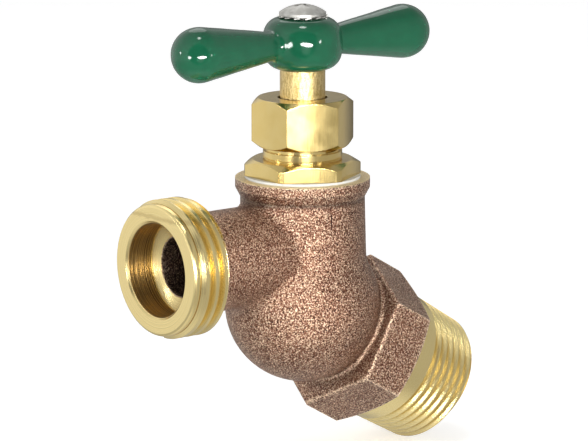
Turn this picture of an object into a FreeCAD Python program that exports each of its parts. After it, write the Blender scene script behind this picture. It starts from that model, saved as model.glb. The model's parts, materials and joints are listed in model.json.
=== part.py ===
import FreeCAD, Part
import os
import re
import Sketcher

# Hose bibb: an angled garden tap with a male hose outlet and a male pipe inlet.
#
# Every piece is drawn about the stem's axis, and its heights are measured from the outlet's axis,
# so all pieces share one placement. The part's own frame has its origin at the centre of the
# inlet's open end, +Z up along the stem, and the outlet pointing along -Y. Lengths are in
# millimetres and angles in degrees.

Vector = FreeCAD.Vector
CLOSE = 1e-4  # two lengths this near are the same
LEAST_CUT = 0.1  # a cut that takes less than this many cubic millimetres has missed

# Driving dimensions, by the piece that they shape.
SIZES = {
    # Casting
    "tilt": 30.0,  # the inlet's fall below the horizontal
    "bulb_radius": 15.15,
    "bulb_drop": 11.2,  # from the outlet's axis down to the bulb's centre
    "bulb_wall": 2.8,
    "neck_radius": 12.1,
    "neck_foot": 12.4,  # the neck's radius where it meets the bulb
    "neck_blend": 5.0,
    "collar_radius": 13.1,
    "collar_top": 14.05,
    "collar_height": 1.85,
    "collar_taper": 1.9,
    "chamber_radius": 9.4,
    "seat_level": -6.75,
    "seat_bore": 5.5,
    "seat_lip": 1.5,
    "seat_rise": 0.8,
    "bridge_thickness": 2.4,
    # Outlet
    "outlet_reach": 35.7,  # from the stem's axis to the outlet's face
    "spout_radius": 9.65,
    "spout_blend": 3.0,
    "hose_radius": 13.35,
    "hose_length": 8.3,
    "hose_land": 1.2,
    "hose_relief": 0.25,
    "hose_land_drop": 0.7,  # from the crests down to the plain land at the mouth
    "hose_pitch": 2.209,
    "hose_depth": 1.05,
    "hose_edge": 0.6,
    "hose_lead": 0.7,  # the slope up to the first crest
    "hose_mouth": 1.59,  # the thread groove's width at the crests
    "hose_floor": 0.62,  # and at its root
    "socket_radius": 9.0,
    "socket_depth": 5.9,
    "waterway_radius": 5.8,
    "socket_chamfer": 0.5,
    "mouth_chamfer": 0.4,
    # Inlet
    "inlet_drop": 1.2,  # from the bulb's centre down to where the inlet's axis meets the stem's
    "inlet_reach": 36.5,  # from there to the inlet's open end
    "inlet_length": 16.1,
    "inlet_bore": 8.2,
    "inlet_radius": 13.45,
    "inlet_land": 2.1,
    "inlet_taper": 1.79,
    "inlet_pitch": 1.814,
    "inlet_depth": 1.0,
    "inlet_edge": 0.7,
    "inlet_relief": 0.1,  # from the land down to the first crest
    "inlet_mouth": 1.63,
    "inlet_floor": 0.18,
    "inlet_lead": 1.09,  # the groove's run-in past the open end
    "inlet_stop": 2.0,  # and its stop short of the land
    "inlet_neck": 9.0,  # the tube that joins the hexagon to the bulb, hidden at this reach
    "inlet_hex": 28.1,
    "inlet_hex_length": 10.3,
    "inlet_hex_bevel": 25.0,
    "inlet_hex_rim": 13.9,
    "inlet_blend": 1.0,
    "inlet_ridge": 0.6,  # the round along the hexagon's back edges
    "blend_margin": 0.1,  # the least flat ring left between the hexagon's root fillet and its ridge
    # Gasket and bonnet
    "gasket_radius": 11.25,
    "gasket_thickness": 0.45,
    "bonnet_hex": 20.2,
    "bonnet_hex_height": 3.2,
    "bonnet_corner": 11.35,
    "bonnet_face": 9.7,
    "bonnet_bevel": 32.0,
    "spigot_radius": 8.75,
    "spigot_length": 8.85,
    "ring_radius": 7.7,
    "ring_gap": 0.3,
    "ring_height": 1.35,
    "nut_thread": 7.15,
    "nut_pitch": 1.27,
    "nut_depth": 0.6,
    "nut_mouth": 1.14,
    "nut_floor": 0.25,
    "bonnet_height": 12.2,
    "packing_depth": 4.6,
    "packing_radius": 5.6,
    "stop_height": 2.15,
    "relief_length": 4.0,
    # Packing
    "packing_length": 3.2,
    "gland_flange": 0.9,
    "gland_radius": 6.7,
    "gland_gap": 0.3,
    "nut_hex": 17.5,
    "nut_gap": 0.9,  # thread that shows between the bonnet's ring and the nut
    "nut_height": 9.4,
    "nut_bore": 7.25,
    "nut_hole": 4.85,
    "nut_face": 8.65,
    "nut_bevel": 38.0,
    "nut_turn": 4.0,
    # Stem
    "stem_radius": 4.4,
    "stem_fit": 0.08,  # radial play of the stem in its guides
    "stem_shows": 5.4,
    "stem_pitch": 2.5,
    "stem_lift": 5.0,
    "thread_radius": 5.6,
    "thread_depth": 1.0,
    "thread_crest": 0.75,
    "thread_root": 1.45,
    "thread_play": 0.15,
    "stop_gap": 0.2,
    "thread_length": 8.4,
    "thread_chamfer": 30.0,
    "square_flats": 6.35,
    "square_corner": 4.3,
    "square_length": 8.2,
    "square_play": 0.05,
    "button_radius": 3.7,
    "button_height": 2.7,
    "button_neck": 2.6,
    "swivel_play": 0.1,
    # Disc
    "washer_radius": 6.6,
    "washer_thickness": 3.0,
    "disc_rim": 0.8,
    "disc_rim_depth": 1.2,
    "disc_floor": 2.8,
    "cup_wall": 1.3,
    "cup_lip": 0.6,
    "bibb_screw_radius": 1.65,
    "bibb_screw_length": 5.0,
    "bibb_head_radius": 3.1,
    "bibb_head_height": 1.5,
    "slot_width": 0.7,
    "slot_depth": 0.7,
    "screw_play": 0.05,
    # Handle
    "hub_height": 10.25,
    "hub_radius": 7.85,
    "hub_side": 10.0,
    "hub_edge": 3.6,
    "arm_level": 5.15,
    "arm_taper": 8.5,
    "arm_blend": 0.9,
    "knob_offset": 25.1,
    "knob_radius": 5.4,
    # Handle screw and its washer
    "screw_radius": 2.35,
    "screw_length": 9.0,
    "head_radius": 4.55,
    "head_height": 2.05,
    "head_rim": 0.5,
    "cross_span": 3.9,
    "cross_width": 1.0,
    "cross_depth": 1.3,
    "cross_taper": 8.0,
    "lock_thickness": 0.4,
    "lock_radius": 4.85,
    "tooth_depth": 0.95,
    "tooth_share": 0.62,  # the part of each tooth's turn that its notch takes
    "tooth_count": 14,
    # Room for cutting outlines
    "cut_over": 0.1,  # past the surface that a thread's groove opens on
    "hex_margin": 1.0,  # past a hexagon's corners
}

# Places and sizes that follow from the driving ones.
DERIVED = {
    "axis_y": "-inlet_reach * cos(tilt)",
    "axis_z": "inlet_reach * sin(tilt) + bulb_drop + inlet_drop",
    "bulb_centre": "-bulb_drop",
    "inlet_centre": "bulb_centre - inlet_drop",
    "bulb_inner": "bulb_radius - bulb_wall",
    "blend_level": "bulb_centre + sqrt((bulb_radius + neck_blend)^2 - (neck_foot + neck_blend)^2)",
    "blend_share": "bulb_radius / (bulb_radius + neck_blend)",
    "collar_foot": "collar_top - collar_height",
    "bonnet_bore": "spigot_radius + thread_play",
    "bonnet_base": "collar_top + gasket_thickness",
    "spigot_foot": "bonnet_base - spigot_length",
    "chamber_join": "bulb_centre + sqrt(bulb_inner^2 - chamber_radius^2)",
    "bridge_top": "seat_level - seat_rise",
    "bridge_foot": "bridge_top - bridge_thickness",
    "bridge_radius": "bulb_radius - bulb_wall / 2",
    "hose_land_radius": "hose_radius - hose_land_drop",
    "hex_start": "inlet_reach - inlet_length - inlet_hex_length",
    "hex_end": "inlet_reach - inlet_length",
    "hex_corner": "inlet_hex / 2 / cos(30)",
    "hex_clear": "hex_corner + hex_margin",
    "hex_depth": "hex_start + inlet_drop * sin(tilt)",
    "bulb_section": "sqrt(max(bulb_radius^2 - hex_depth^2; 0))",
    "hex_root": "max(inlet_neck; bulb_section + inlet_drop * cos(tilt))",
    "root_wedge": "bulb_section > inlet_neck ? acos(min(hex_depth / bulb_radius; 1)) : 90 deg",
    "root_room": "(inlet_hex / 2 - inlet_ridge - hex_root - blend_margin) * tan(root_wedge / 2)",
    "neck_shows": "hex_depth - sqrt(bulb_radius^2 - inlet_neck^2)",
    "neck_room": "bulb_section > inlet_neck ? inlet_blend : neck_shows - blend_margin",
    "root_blend": "max(min(inlet_blend; root_room; neck_room); blend_margin)",
    "ridge_room": "inlet_hex / 2 - hex_root - root_blend / tan(root_wedge / 2) - blend_margin",
    "ridge_blend": "max(min(inlet_ridge; ridge_room); blend_margin)",
    "inlet_crest": "inlet_radius - inlet_relief",
    "taper_drop": "(inlet_length - inlet_land) * tan(inlet_taper)",
    "hose_start": "hose_land + hose_mouth / 2 - outlet_reach",
    "hose_run": "hose_length - hose_land",
    "pipe_start": "inlet_reach + inlet_lead",
    "pipe_finish": "hex_end + inlet_land + inlet_stop",
    "pipe_crest": "inlet_crest - (pipe_start - hex_end - inlet_land) * tan(inlet_taper)",
    "bonnet_shoulder": "bonnet_base + bonnet_hex_height",
    "ring_foot": "bonnet_shoulder + ring_gap",
    "ring_top": "ring_foot + ring_height",
    "bonnet_top": "bonnet_base + bonnet_height",
    "bonnet_clear": "bonnet_hex / 2 / cos(30) + hex_margin",
    "packing_floor": "bonnet_top - packing_depth",
    "stop_level": "bonnet_base + stop_height",
    "relief_foot": "stop_level - relief_length",
    "packing_top": "packing_floor + packing_length",
    "gland_shoulder": "bonnet_top + gland_gap",
    "gland_top": "gland_shoulder + gland_flange",
    "nut_start": "ring_top + nut_pitch / 2",
    "nut_foot": "ring_top + nut_gap",
    "nut_top": "nut_foot + nut_height",
    "nut_clear": "nut_hex / 2 / cos(30) + hex_margin",
    "handle_foot": "nut_top + stem_shows",
    "thread_top": "stop_level - stop_gap - stem_lift",
    "thread_foot": "thread_top - thread_length",
    "thread_core": "thread_radius - thread_depth",
    "thread_slope": "(thread_root - thread_crest) / thread_depth",
    "root_half": "thread_root / 2",
    "crest_half": "thread_crest / 2",
    "stem_groove": "thread_foot - stem_pitch",
    "bonnet_turns": "floor((spigot_foot - stem_groove) / stem_pitch - 3 / 2)",
    "bonnet_groove": "stem_groove + stem_pitch * (bonnet_turns + 1 / 2)",
    "guide_radius": "stem_radius + stem_fit",
    "washer_top": "seat_level + washer_thickness",
    "disc_radius": "washer_radius + swivel_play + disc_rim",
    "disc_top": "washer_top + disc_floor",
    "button_foot": "disc_top + swivel_play",
    "button_top": "button_foot + button_height",
    "cup_bore": "button_radius + 2 * swivel_play",
    "cup_radius": "cup_bore + cup_wall",
    "lip_foot": "button_top + swivel_play",
    "lip_top": "lip_foot + cup_lip",
    "cup_room": "lip_top + stem_lift + stop_gap",
    "relief_radius": "thread_radius + 2 * thread_play",
    "square_top": "handle_foot + square_length",
    "bibb_head_foot": "seat_level - bibb_head_height",
    "hub_top": "handle_foot + hub_height",
    "hub_middle": "handle_foot + hub_height / 2",
    "hub_lean": "(hub_height / 2 - hub_edge) / (hub_side - hub_edge)",
    "hub_cosine": "sqrt(1 - hub_lean^2)",
    "hub_flat": "hub_radius - hub_side + (hub_side - hub_edge) * hub_cosine",
    "hub_turn": "hub_radius - hub_side + hub_side * hub_cosine",
    "head_base": "hub_top + lock_thickness",
    "screw_foot": "head_base - screw_length",
    "tooth_half": "tooth_share * 180 / tooth_count",
    "tooth_clear": "lock_radius + tooth_depth",
    "dome_rise": "head_height - head_rim",
    "dome_radius": "(head_radius^2 + dome_rise^2) / (2 * dome_rise)",
}

NAME = re.compile(r"[a-z][a-z_]*")

document = FreeCAD.newDocument("hose_bibb")
sheet = document.addObject("Spreadsheet::Sheet", "sizes")
pieces = []
cuts = []


def fill_sheet():
    """Write each driving dimension into the sheet, with its name as the alias."""
    for row, (name, value) in enumerate(SIZES.items(), 1):
        sheet.set(f"A{row}", name)
        sheet.set(f"B{row}", str(value))
        sheet.setAlias(f"B{row}", name)
    document.recompute()


def bound(text):
    """Turn words that name sizes into references to the sheet."""

    def reference(match):
        word = match.group()
        if word in SIZES:
            return "sizes." + word
        if word in DERIVED:
            return "(" + bound(DERIVED[word]) + ")"
        return word

    return NAME.sub(reference, text)


def number(text):
    """Work out an expression now, for geometry that a constraint then holds."""
    value = sheet.evalExpression(bound(text))
    return float(getattr(value, "Value", value))


def new_body(label):
    """Start a piece on the stem's axis, with its zero at the outlet's axis."""
    body = document.addObject("PartDesign::Body", label)
    body.Label = label
    body.setExpression("Placement.Base.y", bound("axis_y"))
    body.setExpression("Placement.Base.z", bound("axis_z"))
    pieces.append(body)
    return body


def new_sketch(body, name, role, offset=None, turn_axis=None):
    """Attach a sketch to one of the body's origin planes, moved or turned by expressions."""
    sketch = body.newObject("Sketcher::SketchObject", f"{body.Name}_{name}")
    plane = next(item for item in body.Origin.OriginFeatures if item.Role == role)
    sketch.AttachmentSupport = [(plane, "")]
    sketch.MapMode = "FlatFace"
    if turn_axis:
        sketch.AttachmentOffset = FreeCAD.Placement(Vector(), FreeCAD.Rotation(turn_axis, 1))
    for path, text in (offset or {}).items():
        sketch.setExpression(f"AttachmentOffset.{path}", bound(text))
    return sketch


def arc_through(start, end, radius):
    """Make the arc of a radius from start to end; a negative radius bulges to the right."""
    chord = end - start
    middle = (start + end) * 0.5
    left = Vector(-chord.y, chord.x, 0).normalize()
    height = max(radius**2 - (chord.Length / 2) ** 2, 0) ** 0.5
    rise = abs(radius) - height
    return Part.Arc(start, middle + left * rise * (1 if radius > 0 else -1), end)


def hold(sketch, kind, *where, size):
    """Add one dimension and bind it to the sheet."""
    index = sketch.addConstraint(Sketcher.Constraint(kind, *where, number(size)))
    sketch.setExpression(f"Constraints[{index}]", bound(size))


def outline(sketch, corners):
    """Draw a closed outline. Each corner is (across, along) or, where an arc leaves it,
    (across, along, radius, side), with side +1 to bulge left of the way and -1 right."""
    spots = [Vector(number(corner[0]), number(corner[1]), 0) for corner in corners]
    ends = []
    for index, corner in enumerate(corners):
        start, end = spots[index], spots[(index + 1) % len(spots)]
        if len(corner) == 2:
            edge = sketch.addGeometry(Part.LineSegment(start, end), False)
        else:
            edge = sketch.addGeometry(arc_through(start, end, number(corner[2]) * corner[3]), False)
        forward = sketch.getPoint(edge, 1).distanceToPoint(start) < CLOSE
        ends.append((edge, 1, 2) if forward else (edge, 2, 1))
    for index, corner in enumerate(corners):
        edge, first, last = ends[index]
        follower, follower_first, _ = ends[(index + 1) % len(ends)]
        hold(sketch, "DistanceX", -1, 1, edge, first, size=corner[0])
        hold(sketch, "DistanceY", -1, 1, edge, first, size=corner[1])
        sketch.addConstraint(Sketcher.Constraint("Coincident", edge, last, follower, follower_first))
        if len(corner) == 4:
            hold(sketch, "Radius", edge, size=corner[2])
    return sketch


def hexagon(sketch, flats, turn="0"):
    """Draw a regular hexagon by its size across flats, with a corner at the turn from X."""
    corners = []
    for step in range(6):
        angle = f"({turn} + {60 * step})"
        corners.append((f"{flats} / 2 / cos(30) * cos{angle}", f"{flats} / 2 / cos(30) * sin{angle}"))
    return outline(sketch, corners)


def rectangle(sketch, across, along):
    """Draw a rectangle about the sketch's own zero by its half sizes."""
    near, far = f"-{across}", f"-{along}"
    return outline(sketch, [(near, far), (across, far), (across, along), (near, along)])


def circle(sketch, radius):
    """Draw a circle about the sketch's own zero."""
    edge = sketch.addGeometry(Part.Circle(Vector(), Vector(0, 0, 1), number(radius)), False)
    sketch.addConstraint(Sketcher.Constraint("Coincident", edge, 3, -1, 1))
    hold(sketch, "Radius", edge, size=radius)
    return sketch


def turned(body, name, sketch, axis="V_Axis"):
    """Add a solid of revolution about the sketch's own axis."""
    feature = body.newObject("PartDesign::Revolution", f"{body.Name}_{name}")
    feature.Profile = (sketch, [""])
    feature.ReferenceAxis = (sketch, [axis])
    feature.Angle = 360
    return feature


def grooved(body, name, sketch, axis="V_Axis"):
    """Cut a ring or a bore, turned about the sketch's own axis."""
    feature = body.newObject("PartDesign::Groove", f"{body.Name}_{name}")
    feature.Profile = (sketch, [""])
    feature.ReferenceAxis = (sketch, [axis])
    feature.Angle = 360
    cuts.append(feature)
    return feature


def extruded(body, name, sketch, kind, length):
    """Pad or pocket a sketch by a bound length."""
    feature = body.newObject(f"PartDesign::{kind}", f"{body.Name}_{name}")
    feature.Profile = (sketch, [""])
    feature.setExpression("Length", bound(length))
    if kind == "Pocket":
        cuts.append(feature)
    return feature


def threaded(body, name, sketch, axis, pitch, length, taper="0"):
    """Cut a right-hand helical groove with the sketch's outline."""
    feature = body.newObject("PartDesign::SubtractiveHelix", f"{body.Name}_{name}")
    feature.Profile = (sketch, [""])
    feature.ReferenceAxis = (sketch, [axis])
    feature.Mode = "pitch-height-angle"
    feature.setExpression("Pitch", bound(pitch))
    feature.setExpression("Height", bound(length))
    feature.setExpression("Angle", bound(taper))
    cuts.append(feature)
    return feature


def touching(shape, edge, kind):
    """List the surfaces of a kind that meet at an edge."""
    faces = shape.ancestorsOfType(edge, Part.Face)
    return [face.Surface for face in faces if isinstance(face.Surface, kind)]


def blended(body, name, radius, wanted):
    """Round the edges of the body's last feature that the test picks out."""
    document.recompute()
    base = body.Tip
    shape = base.Shape
    names = [f"Edge{index}" for index, edge in enumerate(shape.Edges, 1) if wanted(shape, edge)]
    feature = body.newObject("PartDesign::Fillet", f"{body.Name}_{name}")
    feature.Base = (base, names)
    feature.setExpression("Radius", bound(radius))
    return feature


INLET_FRAME = {"Base.y": "inlet_centre", "Rotation.Angle": "-tilt"}


def at_spout_root(shape, edge):
    """Tell the edges where the spout's tube leaves the neck and the bulb."""
    radius = number("spout_radius")
    tubes = [tube for tube in touching(shape, edge, Part.Cylinder) if abs(tube.Radius - radius) < CLOSE]
    return bool(tubes) and edge.BoundBox.YMin > number("hose_length + spout_blend - outlet_reach")


def at_hexagon_root(shape, edge):
    """Tell the edge where the hexagon's flat back leaves the bulb, or the neck that joins them."""
    radius = number("inlet_neck")
    necks = [tube for tube in touching(shape, edge, Part.Cylinder) if abs(tube.Radius - radius) < CLOSE]
    rounds = necks + touching(shape, edge, Part.Sphere)
    return bool(rounds) and bool(touching(shape, edge, Part.Plane))


def at_hexagon_ridge(shape, edge):
    """Tell the straight edges round the hexagon's flat back."""
    inlet_way = FreeCAD.Rotation(Vector(1, 0, 0), -number("tilt")).multVec(Vector(0, 1, 0))
    start = Vector(0, 0, number("inlet_centre"))
    levels = [(vertex.Point - start).dot(inlet_way) for vertex in edge.Vertexes]
    back = all(abs(level - number("hex_start")) < CLOSE for level in levels)
    return back and len(touching(shape, edge, Part.Plane)) == 2


def make_valve_body():
    """The casting: bulb, neck, spout, hexagon and both threads, hollow with a seat inside."""
    body = new_body("valve_body")

    shell = outline(new_sketch(body, "shell", "XZ_Plane"), [
        ("0", "bulb_centre - bulb_radius", "bulb_radius", -1),
        ("(neck_foot + neck_blend) * blend_share",
         "bulb_centre + (blend_level - bulb_centre) * blend_share", "neck_blend", 1),
        ("neck_foot", "blend_level"),
        ("neck_radius", "collar_foot - collar_taper"),
        ("collar_radius", "collar_foot"),
        ("collar_radius", "collar_top"),
        ("0", "collar_top"),
    ])
    turned(body, "casting", shell)

    spout = outline(new_sketch(body, "spout", "YZ_Plane"), [
        ("0", "0"),
        ("0", "spout_radius"),
        ("hose_length - outlet_reach", "spout_radius"),
        ("hose_length - outlet_reach", "hose_radius - hose_edge"),
        ("hose_length - outlet_reach - hose_edge", "hose_radius"),
        ("hose_land + hose_relief + hose_lead - outlet_reach", "hose_radius"),
        ("hose_land + hose_relief - outlet_reach", "hose_land_radius"),
        ("hose_land + hose_relief - outlet_reach", "hose_land_radius - hose_relief"),
        ("hose_land - outlet_reach", "hose_land_radius - hose_relief"),
        ("hose_land - outlet_reach", "hose_land_radius"),
        ("hose_edge - outlet_reach", "hose_land_radius", "hose_edge", -1),
        ("-outlet_reach", "hose_land_radius - hose_edge"),
        ("-outlet_reach", "0"),
    ])
    turned(body, "spout_tube", spout, "H_Axis")
    blended(body, "spout_root", "spout_blend", at_spout_root)

    stub = outline(new_sketch(body, "stub", "YZ_Plane", INLET_FRAME), [
        ("0", "0"),
        ("0", "inlet_neck"),
        ("hex_start + inlet_hex_length / 2", "inlet_neck"),
        ("hex_end", "inlet_radius"),
        ("hex_end + inlet_land", "inlet_radius"),
        ("hex_end + inlet_land", "inlet_crest"),
        ("inlet_reach - inlet_edge", "inlet_crest - taper_drop"),
        ("inlet_reach", "inlet_crest - taper_drop - inlet_edge"),
        ("inlet_reach", "0"),
    ])
    turned(body, "inlet_stub", stub, "H_Axis")

    hexagon_frame = {
        "Base.y": "hex_start * cos(tilt)",
        "Base.z": "inlet_centre - hex_start * sin(tilt)",
        "Rotation.Angle": "-90 - tilt",
    }
    hex_sketch = new_sketch(body, "hex", "XY_Plane", hexagon_frame, Vector(1, 0, 0))
    hexagon(hex_sketch, "inlet_hex", "30")
    extruded(body, "hex_block", hex_sketch, "Pad", "inlet_hex_length")
    blended(body, "hex_root", "root_blend", at_hexagon_root)
    blended(body, "hex_ridge", "ridge_blend", at_hexagon_ridge)

    bevel = outline(new_sketch(body, "hex_bevel", "YZ_Plane", INLET_FRAME), [
        ("hex_end", "inlet_hex_rim"),
        ("hex_end", "hex_clear"),
        ("hex_end - (hex_clear - inlet_hex_rim) * tan(inlet_hex_bevel)", "hex_clear"),
    ])
    grooved(body, "hex_front", bevel, "H_Axis")

    chamber = outline(new_sketch(body, "chamber", "XZ_Plane"), [
        ("0", "collar_top"),
        ("bonnet_bore + mouth_chamfer", "collar_top"),
        ("bonnet_bore", "collar_top - mouth_chamfer"),
        ("bonnet_bore", "spigot_foot"),
        ("chamber_radius", "spigot_foot"),
        ("chamber_radius", "chamber_join", "bulb_inner", 1),
        ("0", "bulb_centre - bulb_inner"),
    ])
    grooved(body, "chamber_core", chamber)

    inlet = outline(new_sketch(body, "inlet_way", "YZ_Plane", INLET_FRAME), [
        ("0", "0"),
        ("0", "inlet_bore"),
        ("inlet_reach - mouth_chamfer", "inlet_bore"),
        ("inlet_reach", "inlet_bore + mouth_chamfer"),
        ("inlet_reach", "0"),
    ])
    grooved(body, "inlet_core", inlet, "H_Axis")

    outlet = outline(new_sketch(body, "outlet_way", "YZ_Plane"), [
        ("0", "0"),
        ("0", "waterway_radius"),
        ("socket_depth - outlet_reach", "waterway_radius"),
        ("socket_depth - outlet_reach", "socket_radius"),
        ("socket_chamfer - outlet_reach", "socket_radius"),
        ("-outlet_reach", "socket_radius + socket_chamfer"),
        ("-outlet_reach", "0"),
    ])
    grooved(body, "outlet_core", outlet, "H_Axis")

    bridge = outline(new_sketch(body, "bridge", "XZ_Plane"), [
        ("seat_bore", "bridge_foot"),
        ("bridge_radius", "bridge_foot"),
        ("bridge_radius", "bridge_top"),
        ("seat_bore + seat_lip", "bridge_top"),
        ("seat_bore + seat_lip", "seat_level"),
        ("seat_bore", "seat_level"),
    ])
    turned(body, "seat_bridge", bridge)

    hose_groove = outline(new_sketch(body, "hose_groove", "YZ_Plane"), [
        ("hose_start - hose_mouth / 2", "-hose_radius - cut_over"),
        ("hose_start - hose_floor / 2", "hose_depth - hose_radius"),
        ("hose_start + hose_floor / 2", "hose_depth - hose_radius"),
        ("hose_start + hose_mouth / 2", "-hose_radius - cut_over"),
    ])
    threaded(body, "hose_thread", hose_groove, "H_Axis", "hose_pitch", "hose_run")

    pipe_groove = outline(new_sketch(body, "pipe_groove", "YZ_Plane", INLET_FRAME), [
        ("pipe_start - inlet_mouth / 2", "pipe_crest + cut_over"),
        ("pipe_start - inlet_floor / 2", "pipe_crest - inlet_depth"),
        ("pipe_start + inlet_floor / 2", "pipe_crest - inlet_depth"),
        ("pipe_start + inlet_mouth / 2", "pipe_crest + cut_over"),
    ])
    pipe_run = "pipe_start - pipe_finish"
    thread = threaded(body, "pipe_thread", pipe_groove, "H_Axis", "inlet_pitch", pipe_run, "inlet_taper")
    thread.Reversed = True


def make_gasket():
    """The flat ring that seals the bonnet on the collar."""
    body = new_body("bonnet_gasket")
    turned(body, "ring", outline(new_sketch(body, "section", "XZ_Plane"), [
        ("bonnet_bore", "collar_top"),
        ("gasket_radius", "collar_top"),
        ("gasket_radius", "bonnet_base"),
        ("bonnet_bore", "bonnet_base"),
    ]))


def make_bonnet():
    """The screwed-in head that guides the stem and holds its packing."""
    body = new_body("bonnet")
    hex_sketch = new_sketch(body, "hex", "XY_Plane", {"Base.z": "bonnet_base"})
    extruded(body, "hex_block", hexagon(hex_sketch, "bonnet_hex"), "Pad", "bonnet_hex_height")
    grooved(body, "hex_corners", outline(new_sketch(body, "corners", "XZ_Plane"), [
        ("bonnet_face", "bonnet_shoulder"),
        ("bonnet_clear", "bonnet_shoulder"),
        ("bonnet_clear", "bonnet_base"),
        ("bonnet_corner", "bonnet_base"),
        ("bonnet_corner", "bonnet_shoulder - (bonnet_corner - bonnet_face) * tan(bonnet_bevel)"),
    ]))
    turned(body, "barrel", outline(new_sketch(body, "barrel_section", "XZ_Plane"), [
        ("0", "spigot_foot"),
        ("spigot_radius - mouth_chamfer", "spigot_foot"),
        ("spigot_radius", "spigot_foot + mouth_chamfer"),
        ("spigot_radius", "bonnet_base + bonnet_hex_height / 2"),
        ("ring_radius - ring_gap", "bonnet_base + bonnet_hex_height / 2"),
        ("ring_radius - ring_gap", "ring_foot"),
        ("ring_radius", "ring_foot"),
        ("ring_radius", "ring_top"),
        ("nut_thread", "ring_top"),
        ("nut_thread", "bonnet_top - mouth_chamfer"),
        ("nut_thread - mouth_chamfer", "bonnet_top"),
        ("0", "bonnet_top"),
    ]))
    grooved(body, "stem_way", outline(new_sketch(body, "way_section", "XZ_Plane"), [
        ("0", "spigot_foot"),
        ("relief_radius", "spigot_foot"),
        ("relief_radius", "cup_room"),
        ("thread_core + thread_play", "cup_room"),
        ("thread_core + thread_play", "relief_foot"),
        ("relief_radius", "relief_foot"),
        ("relief_radius", "stop_level"),
        ("guide_radius", "stop_level"),
        ("guide_radius", "packing_floor"),
        ("packing_radius", "packing_floor"),
        ("packing_radius", "bonnet_top"),
        ("0", "bonnet_top"),
    ]))
    nut_groove = outline(new_sketch(body, "nut_groove", "XZ_Plane"), [
        ("nut_thread + cut_over", "nut_start - nut_mouth / 2"),
        ("nut_thread - nut_depth", "nut_start - nut_floor / 2"),
        ("nut_thread - nut_depth", "nut_start + nut_floor / 2"),
        ("nut_thread + cut_over", "nut_start + nut_mouth / 2"),
    ])
    threaded(body, "nut_thread", nut_groove, "V_Axis", "nut_pitch", "bonnet_top - ring_top")
    stem_groove = outline(new_sketch(body, "stem_groove", "XZ_Plane"), [
        ("thread_core", "bonnet_groove - root_half - thread_play"),
        ("thread_core", "bonnet_groove + root_half + thread_play"),
        ("thread_radius + thread_play", "bonnet_groove + crest_half + thread_play"),
        ("thread_radius + thread_play", "bonnet_groove - crest_half - thread_play"),
    ])
    threaded(body, "stem_thread", stem_groove, "V_Axis", "stem_pitch",
             "relief_foot - bonnet_groove + stem_pitch")


def make_stem():
    """The spindle: swivel button, coarse thread, shaft, square and tapped top."""
    body = new_body("stem")
    turned(body, "spindle", outline(new_sketch(body, "spindle_section", "XZ_Plane"), [
        ("0", "button_foot"),
        ("button_radius", "button_foot"),
        ("button_radius", "button_top"),
        ("button_neck", "button_top"),
        ("button_neck", "thread_foot"),
        ("thread_core", "thread_foot"),
        ("thread_radius", "thread_foot + thread_depth * tan(thread_chamfer)"),
        ("thread_radius", "thread_top"),
        ("stem_radius", "thread_top"),
        ("stem_radius", "handle_foot"),
        ("0", "handle_foot"),
    ]))
    square = new_sketch(body, "square", "XY_Plane", {"Base.z": "handle_foot"})
    rectangle(square, "(square_flats / 2)", "(square_flats / 2)")
    extruded(body, "square_top", square, "Pad", "square_length")
    grooved(body, "square_corners", outline(new_sketch(body, "corners", "XZ_Plane"), [
        ("square_corner", "handle_foot"),
        ("square_flats", "handle_foot"),
        ("square_flats", "square_top"),
        ("square_corner", "square_top"),
    ]))
    grooved(body, "tapped_hole", outline(new_sketch(body, "hole", "XZ_Plane"), [
        ("0", "screw_foot - mouth_chamfer"),
        ("screw_radius + screw_play", "screw_foot - mouth_chamfer"),
        ("screw_radius + screw_play", "square_top"),
        ("0", "square_top"),
    ]))
    groove = outline(new_sketch(body, "thread_groove", "XZ_Plane"), [
        ("thread_core", "stem_groove - stem_pitch / 2 + root_half"),
        ("thread_core", "stem_groove + stem_pitch / 2 - root_half"),
        ("thread_radius + cut_over",
         "stem_groove + stem_pitch / 2 - crest_half + cut_over * thread_slope / 2"),
        ("thread_radius + cut_over",
         "stem_groove - stem_pitch / 2 + crest_half - cut_over * thread_slope / 2"),
    ])
    threaded(body, "coarse_thread", groove, "V_Axis", "stem_pitch", "thread_length + stem_pitch * 2")


def make_disc_holder():
    """The swivelling cup that carries the seat washer and closes round the stem's button."""
    body = new_body("disc_holder")
    turned(body, "cup", outline(new_sketch(body, "section", "XZ_Plane"), [
        ("bibb_screw_radius + screw_play", "washer_top"),
        ("washer_radius + swivel_play", "washer_top"),
        ("washer_radius + swivel_play", "washer_top - disc_rim_depth"),
        ("disc_radius", "washer_top - disc_rim_depth"),
        ("disc_radius", "disc_top - disc_floor / 2"),
        ("cup_radius", "disc_top"),
        ("cup_radius", "lip_foot"),
        ("cup_radius - cup_lip", "lip_top"),
        ("button_neck + 2 * swivel_play", "lip_top"),
        ("button_neck + 2 * swivel_play", "lip_foot"),
        ("cup_bore", "lip_foot"),
        ("cup_bore", "disc_top"),
        ("bibb_screw_radius + screw_play", "disc_top"),
    ]))


def make_seat_washer():
    """The rubber disc that closes on the seat."""
    body = new_body("seat_washer")
    turned(body, "disc", outline(new_sketch(body, "section", "XZ_Plane"), [
        ("bibb_screw_radius + screw_play", "seat_level"),
        ("washer_radius", "seat_level"),
        ("washer_radius", "washer_top"),
        ("bibb_screw_radius + screw_play", "washer_top"),
    ]))


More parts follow.
